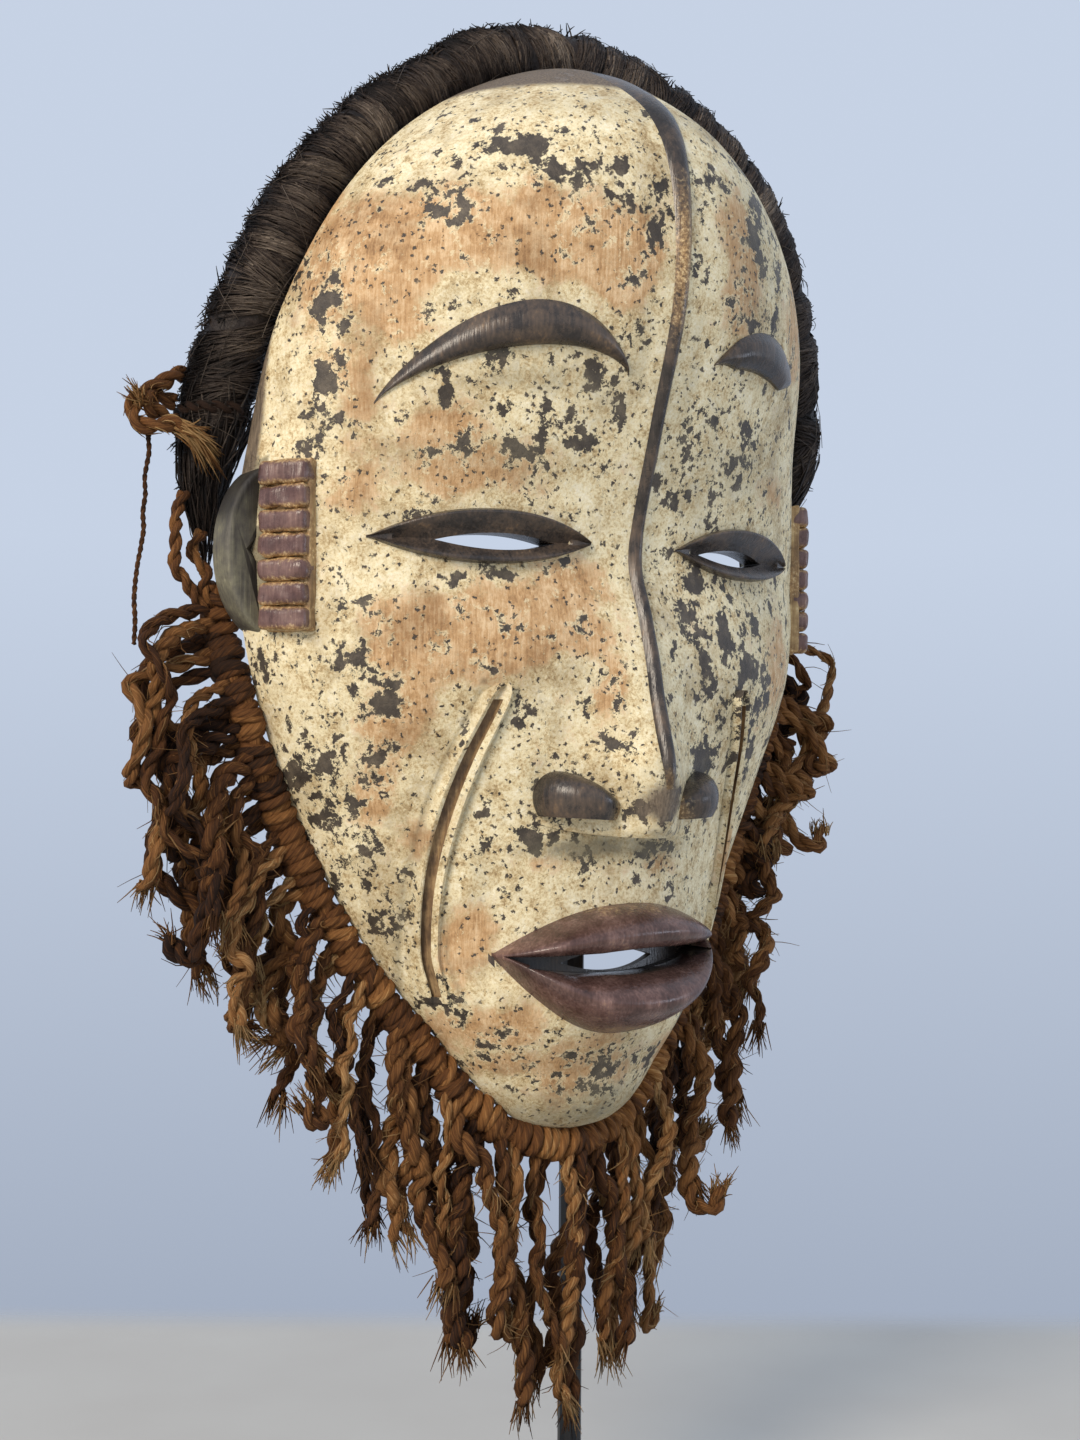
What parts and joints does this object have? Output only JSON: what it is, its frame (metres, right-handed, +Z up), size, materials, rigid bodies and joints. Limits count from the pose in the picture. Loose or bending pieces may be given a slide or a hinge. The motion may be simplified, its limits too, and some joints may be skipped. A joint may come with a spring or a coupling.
{
  "type": "carved wooden face mask on a stand",
  "caption": "Carved, painted wooden face mask with a bound-fibre hair roll and a beard of twisted cords, held upright on a black steel rod with a square foot.",
  "frame": {"origin": "centre of the underside of the stand's square foot", "axes": "+Z up; the face looks along -Y; +X is the mask's own left side"},
  "size_m": [0.3043, 0.15, 0.5201],
  "materials": {
    "painted_wood": "worn matt pale clay paint over light wood, with dark stained brows, lids, nose wings and lips",
    "plant_fibre": "dark matt bound plant fibre",
    "rope_fibre": "golden brown twisted rope, matt",
    "cord_fibre": "brown two-ply twisted cord, matt, with frayed ends",
    "black_steel": "satin black paint on steel"
  },
  "bodies": {
    "root": {"stand_foot": "black_steel", "stand_rod": "black_steel", "wood_mask": "painted_wood", "hair_roll": "plant_fibre", "header_rope": "rope_fibre", "tie_cord": "rope_fibre", "hanging_string": "cord_fibre", "beard_cord_right_01": "cord_fibre", "beard_cord_right_02": "cord_fibre", "beard_cord_right_03": "cord_fibre", "beard_cord_right_04": "cord_fibre", "beard_cord_right_05": "cord_fibre", "beard_cord_right_06": "cord_fibre", "beard_cord_right_07": "cord_fibre", "beard_cord_right_08": "cord_fibre", "beard_cord_right_09": "cord_fibre", "beard_cord_right_10": "cord_fibre", "beard_cord_right_11": "cord_fibre", "beard_cord_right_12": "cord_fibre", "beard_cord_right_13": "cord_fibre", "beard_cord_right_14": "cord_fibre", "beard_cord_right_15": "cord_fibre", "beard_cord_right_16": "cord_fibre", "beard_cord_right_17": "cord_fibre", "beard_cord_right_18": "cord_fibre", "beard_cord_left_01": "cord_fibre", "beard_cord_left_02": "cord_fibre", "beard_cord_left_03": "cord_fibre", "beard_cord_left_04": "cord_fibre", "beard_cord_left_05": "cord_fibre", "beard_cord_left_06": "cord_fibre", "beard_cord_left_07": "cord_fibre", "beard_cord_left_08": "cord_fibre", "beard_cord_left_09": "cord_fibre", "beard_cord_left_10": "cord_fibre", "beard_cord_left_11": "cord_fibre", "beard_cord_left_12": "cord_fibre", "beard_cord_left_13": "cord_fibre", "beard_cord_left_14": "cord_fibre", "beard_cord_left_15": "cord_fibre", "beard_cord_left_16": "cord_fibre", "beard_cord_left_17": "cord_fibre", "beard_cord_left_18": "cord_fibre"}
  },
  "joints": []
}
